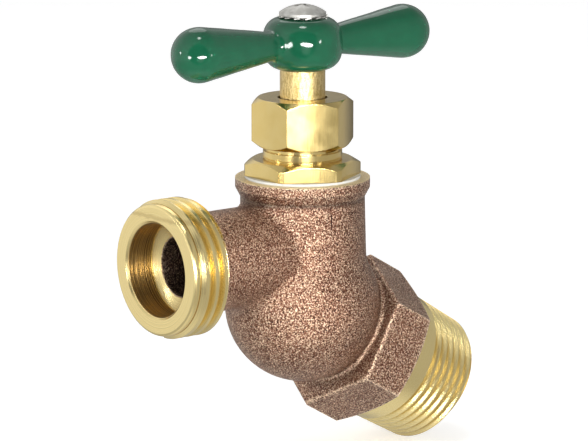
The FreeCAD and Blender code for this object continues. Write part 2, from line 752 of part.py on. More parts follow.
def make_seat_washer_screw():
    """The slotted screw that holds the seat washer in its cup."""
    body = new_body("seat_washer_screw")
    turned(body, "screw", outline(new_sketch(body, "section", "XZ_Plane"), [
        ("0", "bibb_head_foot"),
        ("bibb_head_radius - mouth_chamfer", "bibb_head_foot"),
        ("bibb_head_radius", "bibb_head_foot + mouth_chamfer"),
        ("bibb_head_radius", "seat_level"),
        ("bibb_screw_radius", "seat_level"),
        ("bibb_screw_radius", "seat_level + bibb_screw_length"),
        ("0", "seat_level + bibb_screw_length"),
    ]))
    slot = new_sketch(body, "slot", "XY_Plane", {"Base.z": "bibb_head_foot + slot_depth"})
    rectangle(slot, "(bibb_head_radius + slot_width)", "(slot_width / 2)")
    extruded(body, "slot_cut", slot, "Pocket", "slot_depth")


def make_packing_ring():
    """The soft ring that seals the stem."""
    body = new_body("packing_ring")
    turned(body, "ring", outline(new_sketch(body, "section", "XZ_Plane"), [
        ("guide_radius", "packing_floor"),
        ("packing_radius - stem_fit", "packing_floor"),
        ("packing_radius - stem_fit", "packing_top"),
        ("guide_radius", "packing_top"),
    ]))


def make_packing_gland():
    """The flanged follower that the nut presses on the packing ring."""
    body = new_body("packing_gland")
    turned(body, "follower", outline(new_sketch(body, "section", "XZ_Plane"), [
        ("guide_radius", "packing_top"),
        ("packing_radius - stem_fit", "packing_top"),
        ("packing_radius - stem_fit", "gland_shoulder"),
        ("gland_radius", "gland_shoulder"),
        ("gland_radius", "gland_top"),
        ("guide_radius", "gland_top"),
    ]))


def make_packing_nut():
    """The hexagonal cap that holds the packing down."""
    body = new_body("packing_nut")
    hex_sketch = new_sketch(body, "hex", "XY_Plane", {"Base.z": "nut_foot"})
    extruded(body, "hex_block", hexagon(hex_sketch, "nut_hex", "nut_turn"), "Pad", "nut_height")
    for name, face, inward in (("top", "nut_top", "-"), ("foot", "nut_foot", "+")):
        grooved(body, f"{name}_bevel", outline(new_sketch(body, f"{name}_edge", "XZ_Plane"), [
            ("nut_face", face),
            ("nut_clear", face),
            ("nut_clear", f"{face} {inward} (nut_clear - nut_face) * tan(nut_bevel)"),
        ]))
    grooved(body, "inside", outline(new_sketch(body, "inside_section", "XZ_Plane"), [
        ("0", "nut_foot"),
        ("nut_bore", "nut_foot"),
        ("nut_bore", "gland_top"),
        ("nut_hole", "gland_top"),
        ("nut_hole", "nut_top"),
        ("0", "nut_top"),
    ]))


def at_arm_root(shape, edge):
    """Tell the edges where the arms leave the hub."""
    faces = shape.ancestorsOfType(edge, Part.Face)
    kinds = {type(face.Surface).__name__ for face in faces}
    return "Cone" in kinds and len(kinds) == 2 and abs(edge.CenterOfMass.y) < number("knob_offset / 2")


def make_handle():
    """The tee handle: a barrel hub with two tapered arms that end in balls."""
    body = new_body("handle")
    turned(body, "hub", outline(new_sketch(body, "hub_section", "XZ_Plane"), [
        ("0", "handle_foot"),
        ("hub_flat", "handle_foot", "hub_edge", -1),
        ("hub_turn", "hub_middle - hub_side * hub_lean", "hub_side", -1),
        ("hub_turn", "hub_middle + hub_side * hub_lean", "hub_edge", -1),
        ("hub_flat", "hub_top"),
        ("0", "hub_top"),
    ]))
    arms = new_sketch(body, "arm_section", "YZ_Plane", {"Base.y": "handle_foot + arm_level"})
    turned(body, "arms", outline(arms, [
        ("-knob_offset - knob_radius", "0", "knob_radius", 1),
        ("knob_radius * sin(arm_taper) - knob_offset", "knob_radius * cos(arm_taper)"),
        ("0", "knob_radius / cos(arm_taper) - knob_offset * tan(arm_taper)"),
        ("knob_offset - knob_radius * sin(arm_taper)", "knob_radius * cos(arm_taper)", "knob_radius", 1),
        ("knob_offset + knob_radius", "0"),
    ]), "H_Axis")
    blended(body, "arm_roots", "arm_blend", at_arm_root)
    socket = new_sketch(body, "socket", "XY_Plane", {"Base.z": "square_top + stop_gap"})
    rectangle(socket, "(square_flats / 2 + square_play)", "(square_flats / 2 + square_play)")
    extruded(body, "socket_cut", socket, "Pocket", "square_length + stop_gap")
    grooved(body, "screw_way", outline(new_sketch(body, "way_section", "XZ_Plane"), [
        ("0", "square_top"),
        ("screw_radius + swivel_play", "square_top"),
        ("screw_radius + swivel_play", "hub_top"),
        ("0", "hub_top"),
    ]))


def make_lock_washer():
    """The toothed washer under the handle screw."""
    body = new_body("handle_lock_washer")
    sketch = new_sketch(body, "disc", "XY_Plane", {"Base.z": "hub_top"})
    extruded(body, "plate", circle(sketch, "lock_radius"), "Pad", "lock_thickness")
    hole = new_sketch(body, "hole", "XY_Plane", {"Base.z": "head_base"})
    extruded(body, "hole_cut", circle(hole, "screw_radius + swivel_play"), "Pocket", "lock_thickness")
    notch = new_sketch(body, "notch", "XY_Plane", {"Base.z": "head_base"})
    outline(notch, [
        ("lock_radius - tooth_depth", "0"),
        ("tooth_clear * cos(tooth_half)", "-tooth_clear * sin(tooth_half)"),
        ("tooth_clear * cos(tooth_half)", "tooth_clear * sin(tooth_half)"),
    ])
    cut = extruded(body, "notch_cut", notch, "Pocket", "lock_thickness")
    document.recompute()
    pattern = body.newObject("PartDesign::PolarPattern", f"{body.Name}_teeth")
    pattern.Originals = [cut]
    pattern.Axis = (notch, ["N_Axis"])
    pattern.Angle = 360
    pattern.setExpression("Occurrences", bound("tooth_count"))
    body.Tip = pattern


def make_handle_screw():
    """The truss-headed screw, with a cross recess, that holds the handle on."""
    body = new_body("handle_screw")
    turned(body, "screw", outline(new_sketch(body, "section", "XZ_Plane"), [
        ("0", "screw_foot"),
        ("screw_radius - mouth_chamfer", "screw_foot"),
        ("screw_radius", "screw_foot + mouth_chamfer"),
        ("screw_radius", "head_base"),
        ("head_radius", "head_base"),
        ("head_radius", "head_base + head_rim", "dome_radius", -1),
        ("0", "head_base + head_height"),
    ]))
    recess = new_sketch(body, "recess", "XY_Plane", {"Base.z": "head_base + head_height"})
    span, half = "cross_span / 2", "cross_width / 2"
    arm = [(span, f"-{half}"), (span, half), (half, half)]
    corners = []
    for _ in range(4):
        corners += arm
        arm = [(f"-({up})", across) for across, up in arm]
    cross = extruded(body, "cross", outline(recess, corners), "Pocket", "cross_depth")
    cross.setExpression("TaperAngle", bound("-cross_taper"))


fill_sheet()
make_valve_body()
make_gasket()
make_bonnet()
make_stem()
make_disc_holder()
make_seat_washer()
make_seat_washer_screw()
make_packing_ring()
make_packing_gland()
make_packing_nut()
make_handle()
make_lock_washer()
make_handle_screw()
document.recompute()

failed = [item.Name for item in document.Objects if {"Invalid", "Error"} & set(item.State)]
failed += [piece.Label for piece in pieces if piece.Shape.isNull() or not piece.Shape.isValid()]
if failed:
    raise RuntimeError("failed: " + ", ".join(failed))
missed = [cut.Name for cut in cuts if cut.BaseFeature.Shape.Volume - cut.Shape.Volume < LEAST_CUT]
if missed:
    raise RuntimeError("cut nothing: " + ", ".join(missed))

os.makedirs("parts", exist_ok=True)
for piece in pieces:
    piece.Shape.exportStep(f"parts/{piece.Label}.step")
    box = piece.Shape.BoundBox
    print(f"{piece.Label}: {piece.Shape.Volume:.1f} mm3, z {box.ZMin:.2f} to {box.ZMax:.2f}, "
          f"{len(piece.Shape.Solids)} solid, {len(piece.Shape.Faces)} faces")
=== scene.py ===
# %% [markdown]
# # A hose bibb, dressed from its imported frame
#
# A hose bibb is a garden tap: a rough sand-cast body with bright machined threads, a polished
# head screwed into it, and a green tee handle. The CAD frame brings every solid in its true
# place.

# %% Load the frame
import json
import math

import bmesh
import bpy
from mathutils import Matrix, Vector, noise


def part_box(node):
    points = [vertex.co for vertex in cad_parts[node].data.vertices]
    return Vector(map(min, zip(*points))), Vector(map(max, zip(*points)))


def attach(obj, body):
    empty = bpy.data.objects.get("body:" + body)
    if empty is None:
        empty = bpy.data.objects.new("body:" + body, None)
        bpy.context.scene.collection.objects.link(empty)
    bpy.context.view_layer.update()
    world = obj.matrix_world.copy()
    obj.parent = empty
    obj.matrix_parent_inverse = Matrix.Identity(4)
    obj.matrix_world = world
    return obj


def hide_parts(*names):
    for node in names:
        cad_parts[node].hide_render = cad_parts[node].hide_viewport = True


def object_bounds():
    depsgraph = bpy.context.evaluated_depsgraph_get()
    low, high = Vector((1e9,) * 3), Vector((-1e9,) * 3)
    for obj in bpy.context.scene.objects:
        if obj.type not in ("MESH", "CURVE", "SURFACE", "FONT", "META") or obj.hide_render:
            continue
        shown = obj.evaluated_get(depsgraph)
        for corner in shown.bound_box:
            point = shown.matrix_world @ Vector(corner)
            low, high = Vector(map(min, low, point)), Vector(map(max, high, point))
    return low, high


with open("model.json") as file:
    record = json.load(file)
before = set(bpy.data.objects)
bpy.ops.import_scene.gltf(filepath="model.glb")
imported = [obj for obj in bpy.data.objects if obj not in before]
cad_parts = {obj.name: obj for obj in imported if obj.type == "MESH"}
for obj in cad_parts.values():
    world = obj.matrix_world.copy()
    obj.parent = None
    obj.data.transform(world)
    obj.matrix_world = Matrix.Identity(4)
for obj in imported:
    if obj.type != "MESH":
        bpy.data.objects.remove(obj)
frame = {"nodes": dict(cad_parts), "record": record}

cad_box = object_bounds()
MM = 0.001


def in_mm(values, digits=2):
    """Lengths in metres as rounded millimetres, to print."""
    return [round(value / MM, digits) for value in values]


print("CAD box, mm:", [in_mm(corner) for corner in cad_box])

# %% [markdown]
# ## Places
#
# Three axes carry the whole object: the stem's, the outlet's and the slanted inlet's. The packed
# record names a point and a direction at the outlet's and the inlet's open ends, and the
# bonnet's box stands round the stem. The finishes are laid out from these, so they still fit if
# a size changes.

# %% The three axes
mounts = {mount["name"]: mount for mount in frame["record"]["mounts"]}
UP = (0.0, 0.0, 1.0)
OUTLET = Vector(mounts["outlet_face"]["pos_m"])
OUTLET_IN = tuple(-Vector(mounts["outlet_face"]["axis"]))
INLET = Vector(mounts["inlet_end"]["pos_m"])
INLET_IN = tuple(-Vector(mounts["inlet_end"]["axis"]))
bonnet_low, bonnet_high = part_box("bonnet")
STEM = Vector((0.0, bonnet_low.y / 2 + bonnet_high.y / 2, OUTLET.z))
print("stem axis, at the outlet's level, mm:", in_mm(STEM))
print("outlet face, mm:", in_mm(OUTLET), "inlet end, mm:", in_mm(INLET))

# %% [markdown]
# ## Camera
#
# The photograph looks at the tap from its right front, a little from above, through a long
# lens. Both threads have standard sizes, so the angle, distance and scale come from them. A
# point on the stem's axis is seen at a known place in the picture, and the camera is set so
# that it lands there.

# %% Camera
PICTURE = Vector((588, 441))
AZIMUTH, ELEVATION = 51.5, 11.2
DISTANCE = 780 * MM
SCALE = 5.14 / MM  # pixels to a metre, at the stem's axis
STEM_SEEN = Vector((302.5, 247.2))  # where the outlet's level on the stem's axis is seen
SENSOR = 36.0  # the sensor's width, in mm
NEAR, FAR = 0.05, 20.0  # what the camera sees, in metres from it


def way_to(azimuth, elevation):
    """The direction at an azimuth from -Y towards +X and an elevation, in degrees."""
    angle, rise = math.radians(azimuth), math.radians(elevation)
    return Vector((math.sin(angle) * math.cos(rise), -math.cos(angle) * math.cos(rise), math.sin(rise)))


back = way_to(AZIMUTH, ELEVATION)
right = way_to(AZIMUTH + 90.0, 0.0)
up = back.cross(right)
off = PICTURE / 2 - STEM_SEEN
target = STEM + right * (off.x / SCALE) - up * (off.y / SCALE)
lens = bpy.data.cameras.new("product_lens")
lens.sensor_width = SENSOR
lens.lens = SCALE * DISTANCE * SENSOR / PICTURE.x
lens.clip_start, lens.clip_end = NEAR, FAR
camera = bpy.data.objects.new("camera", lens)
facing = Matrix((right, up, back)).transposed().to_4x4()
camera.matrix_world = Matrix.Translation(target + back * DISTANCE) @ facing
bpy.context.scene.collection.objects.link(camera)
bpy.context.scene.camera = camera
print("lens, mm:", round(lens.lens, 1))

# %% [markdown]
# ## Shader sums
#
# Masks and mixes read best as sums. A small class wraps a shader socket, so that `1 - mask`
# adds its own Math node, and one method adds any other node.


# %% A socket that does sums
class Wire:
    """An output socket in a node tree: sums on it add Math nodes, and node() adds any other."""

    def __init__(self, tree, socket=None):
        self.tree, self.socket = tree, socket

    def node(self, kind, settings=None, inputs=None, output=0):
        """Add a node: its settings first, then the values or links of its sockets."""
        made = self.tree.nodes.new(kind)
        for name, value in (settings or {}).items():
            setattr(made, name, value)
        for name, value in (inputs or {}).items():
            if isinstance(value, Wire):
                self.tree.links.new(value.socket, made.inputs[name])
            else:
                made.inputs[name].default_value = value
        return Wire(self.tree, made.outputs[output] if made.outputs else None)

    def maths(self, operation, *values):
        return self.node("ShaderNodeMath", {"operation": operation}, dict(enumerate(values)))

    def __add__(self, other):
        return self.maths("ADD", self, other)

    def __sub__(self, other):
        return self.maths("SUBTRACT", self, other)

    def __rsub__(self, other):
        return self.maths("SUBTRACT", other, self)

    def __mul__(self, other):
        return self.maths("MULTIPLY", self, other)

    def __truediv__(self, other):
        return self.maths("DIVIDE", self, other)

    def __rtruediv__(self, other):
        return self.maths("DIVIDE", other, self)

    __radd__, __rmul__ = __add__, __mul__

    def most(self, other):
        return self.maths("MAXIMUM", self, other)

    def between(self, low, high):
        """0 at low and below, 1 at high and above, smooth in between."""
        return self.node(
            "ShaderNodeMapRange",
            {"interpolation_type": "SMOOTHSTEP"},
            {"Value": self, "From Min": low, "From Max": high},
        )

    def beneath(self, low, high):
        """1 at low and below, 0 at high and above, smooth in between."""
        return 1 - self.between(low, high)

    def mix(self, first, second):
        """A colour: the first where this mask is 0, the second where it is 1."""
        colours = [(*each, 1.0) if isinstance(each, tuple) else each for each in (first, second)]
        return self.node(
            "ShaderNodeMix", {"data_type": "RGBA"}, {0: self, 6: colours[0], 7: colours[1]}, output=2
        )

    def vectors(self, operation, *values, output=0):
        return self.node(
            "ShaderNodeVectorMath", {"operation": operation}, dict(enumerate((self, *values))), output
        )

    def scaled(self, factor):
        return self.node("ShaderNodeVectorMath", {"operation": "SCALE"}, {0: self, "Scale": factor})

    def along(self, way, start):
        """How far this place lies from a start point along a direction, in millimetres."""
        return (self.vectors("DOT_PRODUCT", way, output=1) - Vector(way).dot(start)) / MM

    def away(self, way, start):
        """How far this place lies from the line through start along a direction, in millimetres."""
        crossed = self.vectors("SUBTRACT", start).vectors("CROSS_PRODUCT", way)
        return crossed.vectors("LENGTH", output=1) / MM

    def noise(self, size, detail=2.0, stretch=None, unit=MM):
        """Noise over this place, with grains of about a size in millimetres."""
        place = self
        if stretch:
            place = self.node("ShaderNodeMapping", None, {"Vector": self, "Scale": stretch})
        inputs = {"Vector": place, "Scale": 1 / (size * unit), "Detail": detail}
        return self.node("ShaderNodeTexNoise", None, inputs)

    def rings(self, way, start, size, detail=1.0):
        """Tool marks: noise that runs round an axis, with rings of about a size in millimetres."""
        inputs = {0: self.along(way, start), 1: self.away(way, start)}
        return self.node("ShaderNodeCombineXYZ", None, inputs).noise(size, detail, unit=1.0)

    def bump(self, depth, under=None):
        """A normal bent by this height, which is 1 at a depth in millimetres."""
        inputs = {"Height": self, "Distance": depth * MM}
        if under:
            inputs["Normal"] = under
        return self.node("ShaderNodeBump", None, inputs)


# %% A finish and who wears it
def finish(name, paint, **constants):
    """A material: paint(place) gives the linked sockets, and constants sit on the shader."""
    material = bpy.data.materials.new(name)
    material.use_nodes = True
    tree = material.node_tree
    shader = next(node for node in tree.nodes if node.type == "BSDF_PRINCIPLED")
    for socket, value in constants.items():
        shader.inputs[socket.replace("_", " ")].default_value = value
    place = Wire(tree).node("ShaderNodeTexCoord", output=3)
    for socket, value in paint(place).items():
        tree.links.new(value.socket, shader.inputs[socket])
    print("finish:", name, len(tree.nodes), "nodes")
    return material


def dress(node, material):
    """Give a CAD node a finish."""
    mesh = frame["nodes"][node].data
    mesh.materials.clear()
    mesh.materials.append(material)


print("to dress:", ", ".join(sorted(frame["nodes"])))

# %% [markdown]
# ## Polished brass
#
# The bonnet and the packing nut are cut from bar and tumbled till they shine. Tumbling rounds
# the edges and crowns the flats a little, so each flat shows a soft upright band of light where
# a truly flat one would show one tone. Both are done by bending the normal: the Bevel node
# rounds the edges, and a share of the way out from the stem's axis crowns the flats.

# %% Polished brass
TUMBLED = 0.25  # the radius that tumbling leaves on an edge, in mm
CROWN = 0.3  # how far the flats lean outwards


def crowned(place):
    """The surface's normal, with rounded edges and leant outwards from the stem's axis."""
    soft = place.node("ShaderNodeBevel", {"samples": 4}, {"Radius": TUMBLED * MM})
    outward = place.vectors("SUBTRACT", STEM).vectors("MULTIPLY", (1.0, 1.0, 0.0)).vectors("NORMALIZE")
    upright = soft.vectors("DOT_PRODUCT", UP, output=1)
    level = upright.maths("ABSOLUTE", upright)
    lean = outward.scaled((1 - level) * CROWN)
    return soft.vectors("ADD", lean).vectors("NORMALIZE")


def polished(place):
    haze = place.noise(3.0, 3.0)
    scratch = place.noise(0.3, 2.0, stretch=(1.0, 1.0, 0.06))
    return {
        "Base Color": haze.mix((0.76, 0.56, 0.19), (0.84, 0.66, 0.29)),
        "Roughness": haze * 0.1 + 0.14,
        "Normal": scratch.bump(0.012, crowned(place)),
    }


polished_brass = finish("polished_brass", polished, Metallic=1.0)
dress("bonnet", polished_brass)
dress("packing_nut", polished_brass)

# %% [markdown]
# ## Turned brass
#
# The stem is drawn bar, left as it came: fine scratches run down it and small pits catch the
# light, so its highlight breaks into upright streaks. Noise that is stretched along Z makes the
# scratches, and the same noise laid over fine pits says where the bar is worn pale.

# %% Turned brass


def turned(place):
    streak = place.noise(0.4, 3.0, stretch=(1.0, 1.0, 0.25))
    pit = place.noise(0.22, 2.0)
    worn = (streak * 0.5 + pit * 0.5).between(0.42, 0.56)
    return {
        "Base Color": worn.mix((0.56, 0.39, 0.14), (0.84, 0.66, 0.31)),
        "Roughness": pit * 0.2 + 0.22,
        "Normal": pit.bump(0.09, streak.bump(0.05)),
    }


turned_brass = finish("turned_brass", turned, Metallic=1.0)
for node in ("stem", "disc_holder", "seat_washer_screw", "packing_gland"):
    dress(node, turned_brass)

# %% [markdown]
# ## Where the casting is machined
#
# The body is poured in sand, which leaves a brown, granular skin. Then the threads, the
# outlet's socket and the collar's top are machined back to brass. The casting is one solid, so
# one material holds both, and masks laid out along the outlet, the inlet and the stem say where
# the tools have been. A little noise makes the border of a cut ragged, as it is on a rough skin.

# %% Where the tools have been
RAGGED_SIZE, RAGGED_DEPTH = 0.8, 0.5  # of a cut's ragged border, in mm as are the sizes below
HOSE_CUT = 8.3  # the hose thread's length
WATERWAY_START, WATERWAY = 5.0, 5.8  # how deep the rough waterway starts, and its radius
PIPE_CUT = 16.1  # the pipe thread's and its land's length
COLLAR = 14.05  # the collar's top, above the outlet's axis
COLLAR_CUT = 0.55  # the share of the collar's top that its cut has cleaned


def machined(place):
    """1 where the casting has been machined, 0 where it is still as cast."""
    ragged = place.noise(RAGGED_SIZE, 2.0) * RAGGED_DEPTH
    depth = place.along(OUTLET_IN, OUTLET)
    hose = (depth + ragged).beneath(HOSE_CUT + 0.1, HOSE_CUT + 0.25)
    bore = (place.away(OUTLET_IN, OUTLET) - ragged).beneath(WATERWAY - 0.1, WATERWAY)
    waterway = bore * depth.between(WATERWAY_START, WATERWAY_START + 0.2)
    pipe = place.along(INLET_IN, INLET).beneath(PIPE_CUT - 0.05, PIPE_CUT + 0.1)
    collar = (place.along(UP, STEM) + ragged * 0.3).between(COLLAR - 0.05, COLLAR + 0.05)
    return (hose * (1 - waterway)).most(pipe).most(collar * COLLAR_CUT)


print("cut, mm: hose thread", HOSE_CUT, "pipe thread", PIPE_CUT, "collar above", COLLAR)

# %% [markdown]
# ## Painted shade and a crack
#
# Shade is painted darker into the corners and under the collar, and one small cold crack runs down the
# neck.
# The Ambient Occlusion node finds the corners by itself. The other two have a known place, so
# they are measured from the stem's axis, with some noise to make them wander.

# %% Painted shade and a crack
CORNER = 5.0  # how near the walls of a corner with painted shade are, in mm
WANDER = 1.5  # the size of the bends in the borders of the painted shade under the collar and of the crack, in mm
COLLAR_FOOT = 10.3  # where the collar's slope meets the neck, above the outlet's axis
CRACK_AZIMUTH = 78.5  # the crack's place round the neck, in degrees from -Y towards +X
CRACK_LOW, CRACK_HIGH = 5.9, 8.3  # its ends, above the outlet's axis
CRACK_SIDES = 0.2, 0.3  # its sides, from that azimuth's plane


def seam(value, low, high, soft):
    """1 where a value lies from low to high, fading over a soft width outside them."""
    return value.between(low - soft, low) * value.beneath(high, high + soft)


def painted_shade_and_crack(place):
    """1 where shade is painted, in the corners and under the collar, and in a cold crack on the neck."""
    shade = place.node("ShaderNodeAmbientOcclusion", {"samples": 6}, {"Distance": CORNER * MM}, output=1)
    wobble = place.noise(WANDER, 2.0)
    height = place.along(UP, STEM)
    # painted shade: a dark band under the collar, where its slope meets the neck
    collar_shade = seam(height + wobble * 0.8, COLLAR_FOOT + 0.2, COLLAR_FOOT + 0.4, 0.8)
    sideways = place.along(tuple(way_to(CRACK_AZIMUTH + 90.0, 0.0)), STEM) + wobble * 0.5
    near_side = place.along(tuple(way_to(CRACK_AZIMUTH, 0.0)), STEM).between(5.0, 6.0)
    crack = seam(sideways, *CRACK_SIDES, 0.15) * seam(height, CRACK_LOW, CRACK_HIGH, 0.5) * near_side
    # painted shade in the corners from the Ambient Occlusion node, painted shade under the collar, and the
    # crack
    return (shade.beneath(0.1, 0.8) * 0.7).most(collar_shade * 0.6).most(crack)


print("crack, mm above the outlet's axis:", CRACK_LOW, "to", CRACK_HIGH)

# %% [markdown]
# ## Skin and brass of the casting
#
# Sand has coarse grains and fine ones, so the grain is two sizes of noise. It lifts the
# surface, and it also darkens the pits and whitens the tips, as tumbling does. Tumbling wears
# the edges most, and comparing the true normal with the Bevel node's says where they are. The
# brass has rings of tool marks round the outlet's axis, and painted shade darkens its thread
# roots. The socket's wall is chattered, and painted dark for the shade inside it, and its floor
# leans inwards, in the normal alone, as a worn drill leaves it. Near-black shade is painted
# inside the waterway.

# %% Sizes and colours of the casting
SAND = 0.30, 0.14  # the coarse and the fine grains, in mm
BLOTCH = 6.0  # the skin's blotches, in mm
GRAIN_LIFT, MARK_LIFT = 0.27, 0.04  # how high the grain and the tool marks stand, in mm
PITS, TIPS = (0.42, 0.49), (0.53, 0.58)  # the heights in the grain where each fades in
EDGE = 1.0  # the width of a worn edge, in mm
SKIN = (0.24, 0.096, 0.056), (0.32, 0.142, 0.085)
PIT, TIP = (0.03, 0.012, 0.008), (0.98, 0.77, 0.55)
PAINTED_CORNER_SHADE, PAINTED_INSIDE_SHADE = (0.05, 0.024, 0.018), (0.02, 0.008, 0.006)  # painted shade in the corners, and near-black painted shade inside the waterway
SOCKET, SOCKET_RADIUS = 5.7, 9.0  # where the socket's floor starts, and its radius, in mm
SOCKET_LEAN = 0.45  # how far the socket's floor leans inwards
CHAMBER_END = 40.0  # how deep the painted shade inside goes, to just past the stem's axis, in mm
TOOL_MARK = 0.22  # the width of a tool mark, in mm
DEEPER = 3.0  # how much deeper again the marks in the socket's wall are
# the cut brass, and the painted shade in its thread roots
BRIGHT, PAINTED_ROOT_SHADE = ((0.88, 0.66, 0.26), (1.0, 0.86, 0.45)), (0.26, 0.15, 0.04)
# the socket's wall: painted dark for the shade inside it, with lighter chatter marks
CHATTER_IN_SHADE = (0.06, 0.032, 0.010), (0.40, 0.26, 0.10)
print("grains, mm:", SAND, "socket, mm:", SOCKET, "deep and", SOCKET_RADIUS, "in radius")

# %% Cast skin and cut metal


def socket_normal(place, radius, depth):
    """Lean the socket's floor in towards the axis, as a worn drill leaves it."""
    normal = place.node("ShaderNodeNewGeometry", output=1)
    step = depth.between(SOCKET - 0.1, SOCKET) * radius.between(WATERWAY - 0.2, WATERWAY)
    step = step * radius.beneath(SOCKET_RADIUS - 0.1, SOCKET_RADIUS)
    inward = place.vectors("SUBTRACT", OUTLET).vectors("MULTIPLY", (-1.0, 0.0, -1.0)).vectors("NORMALIZE")
    return normal.vectors("ADD", inward.scaled(step * SOCKET_LEAN)).vectors("NORMALIZE")


def cast_skin(place, grain, shade_and_crack, inside):
    """The skin's colour: blotches, pits, tips that are worn most at the edges, painted shade in the
    corners and under the collar, the crack, and painted shade inside the waterway.
    """
    blotch = place.noise(BLOTCH, 3.0)
    rounded = place.node("ShaderNodeBevel", {"samples": 4}, {"Radius": EDGE * MM})
    flat = place.node("ShaderNodeNewGeometry", output=1)
    edge = rounded.vectors("DOT_PRODUCT", flat, output=1).beneath(0.90, 0.99)
    tips = (grain + edge * 0.08).between(*TIPS)
    skin = blotch.between(0.3, 0.7).mix(*SKIN)
    worn = tips.mix(grain.beneath(*PITS).mix(skin, PIT), TIP)
    # painted shade in the corners and under the collar, with the crack, and near-black painted shade
    # inside the waterway
    return (inside * (0.9 - tips * 0.6)).mix(shade_and_crack.mix(worn, PAINTED_CORNER_SHADE), PAINTED_INSIDE_SHADE)


def casting(place):
    """Brown cast skin, and brass where the tools have been."""
    cut = machined(place)
    depth = place.along(OUTLET_IN, OUTLET)
    radius = place.away(OUTLET_IN, OUTLET)
    within = radius.beneath(SOCKET_RADIUS + 0.05, SOCKET_RADIUS + 0.2)
    wall = depth.beneath(SOCKET - 0.1, SOCKET + 0.1) * within
    # where near-black shade is painted inside the waterway, from the socket's floor to the chamber
    inside = radius.beneath(WATERWAY + 0.3, WATERWAY + 0.5) * depth.between(SOCKET - 0.1, SOCKET + 0.5)
    inside = inside * depth.beneath(CHAMBER_END - 2.0, CHAMBER_END)
    grain = place.noise(SAND[0], 2.5) * 0.5 + place.noise(SAND[1], 2.0) * 0.5
    # painted shade in the corners and under the collar, and the crack on the neck
    shade_and_crack = painted_shade_and_crack(place)
    marks = place.rings(OUTLET_IN, OUTLET, TOOL_MARK, 2.0)
    # painted shade in the thread roots and other corners of the cut brass, from the Ambient Occlusion mask
    bright = (shade_and_crack * shade_and_crack * 0.8).mix(marks.mix(*BRIGHT), PAINTED_ROOT_SHADE)
    # the socket's wall, painted dark for the shade inside it, with its chatter marks
    brass = wall.mix(bright, marks.between(0.35, 0.6).mix(*CHATTER_IN_SHADE))
    lifted = ((1 - cut) * grain).bump(GRAIN_LIFT, socket_normal(place, radius, depth))
    return {
        "Base Color": cut.mix(cast_skin(place, grain, shade_and_crack, inside), brass),
        "Roughness": 0.35 - cut * 0.09 + wall * 0.15,
        "Metallic": cut * 0.15 + 0.85,
        "Normal": (cut * marks * (wall * DEEPER + 1)).bump(MARK_LIFT, lifted),
    }


cast_bronze = finish("cast_bronze", casting)
dress("valve_body", cast_bronze)

# %% [markdown]
# ## Enamel
#
# The handle is die cast and dipped in thick green enamel, which pools in the corners and
# shines. A sharp CAD mesh can't show that, so a copy of it is filled with small cubes (a voxel
# remesh), smoothed until the corners run together, and sunk a little by slow noise, so that
# the reflections of the lamps wander as they do in a real dipped coat.

# %% Green enamel


def enamel(place):
    ripple = place.noise(3.0, 2.0)
    return {
        "Base Color": ripple.mix((0.003, 0.054, 0.025), (0.005, 0.076, 0.035)),
        "Roughness": ripple * 0.06 + 0.05,
        "Normal": ripple.bump(0.05),
    }


green_enamel = finish("green_enamel", enamel, IOR=1.55)
dress("handle", green_enamel)


# %% Plain meshes
def plain_mesh(piece):
    """Turn a piece's modifiers into a plain mesh."""
    evaluated = piece.evaluated_get(bpy.context.evaluated_depsgraph_get())
    mesh = bpy.data.meshes.new_from_object(evaluated)
    piece.modifiers.clear()
    piece.data = mesh
    print(piece.name, len(mesh.polygons), "faces")


# %% The dipped handle
WELD = 0.002 * MM  # the CAD mesh's loose triangles are joined within this
VOXEL = 0.26 * MM
SMOOTHING = 14  # how many times the cubes' mesh is smoothed
HOLLOW = 3.5 * MM  # the size of the enamel's hollows
SINK = 0.09 * MM  # how far they lie under its crests
metal = frame["nodes"]["handle"].data.copy()
welded = bmesh.new()
welded.from_mesh(metal)
bmesh.ops.remove_doubles(welded, verts=welded.verts, dist=WELD)
welded.to_mesh(metal)
welded.free()
dipped_handle = bpy.data.objects.new("dipped_handle", metal)
bpy.context.scene.collection.objects.link(dipped_handle)
cubes = dipped_handle.modifiers.new("cubes", "REMESH")
cubes.mode, cubes.voxel_size, cubes.use_smooth_shade = "VOXEL", VOXEL, True
pooling = dipped_handle.modifiers.new("pooling", "SMOOTH")
pooling.factor, pooling.iterations = 0.5, SMOOTHING
plain_mesh(dipped_handle)

# %% The coat on the handle
sunk = []
for vertex in dipped_handle.data.vertices:
    hollow = 0.5 + 0.5 * noise.noise(vertex.co / HOLLOW)
    sunk.extend(vertex.co - vertex.normal * (SINK * hollow))
dipped_handle.data.vertices.foreach_set("co", sunk)
dipped_handle.data.update()
dipped_handle.data.materials.clear()
dipped_handle.data.materials.append(green_enamel)
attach(dipped_handle, "spindle")
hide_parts("handle")
print("handle, mm:", in_mm(dipped_handle.dimensions))

# %% [markdown]
# ## Zinc plate, fibre and rubber
#
# The screw and its washer are zinc plated and dull. The gasket is pale fibre, and the packing
# and the disc are dark and soft. None of them shows much, so each is one or two sizes of noise
# in its colour and its bump.

# %% Zinc plate, fibre and rubber


def zinc(place):
    cloud = place.noise(1.2, 3.0)
    return {
        "Base Color": cloud.between(0.35, 0.65).mix((0.46, 0.45, 0.42), (0.60, 0.59, 0.56)),
        "Roughness": cloud * 0.2 + 0.42,
        "Normal": cloud.bump(0.03),
    }


def fibre(place):
    fluff = place.noise(0.3, 4.0)
    return {"Base Color": fluff.mix((0.50, 0.50, 0.47), (0.68, 0.68, 0.65)), "Normal": fluff.bump(0.05)}


def packing(place):
    strand = place.noise(0.4, 3.0)
    return {"Base Color": strand.mix((0.05, 0.05, 0.05), (0.16, 0.16, 0.15)), "Normal": strand.bump(0.1)}


def rubber(place):
    bloom = place.noise(1.0, 3.0)
    return {"Base Color": bloom.mix((0.015, 0.015, 0.015), (0.05, 0.05, 0.05)), "Normal": bloom.bump(0.02)}


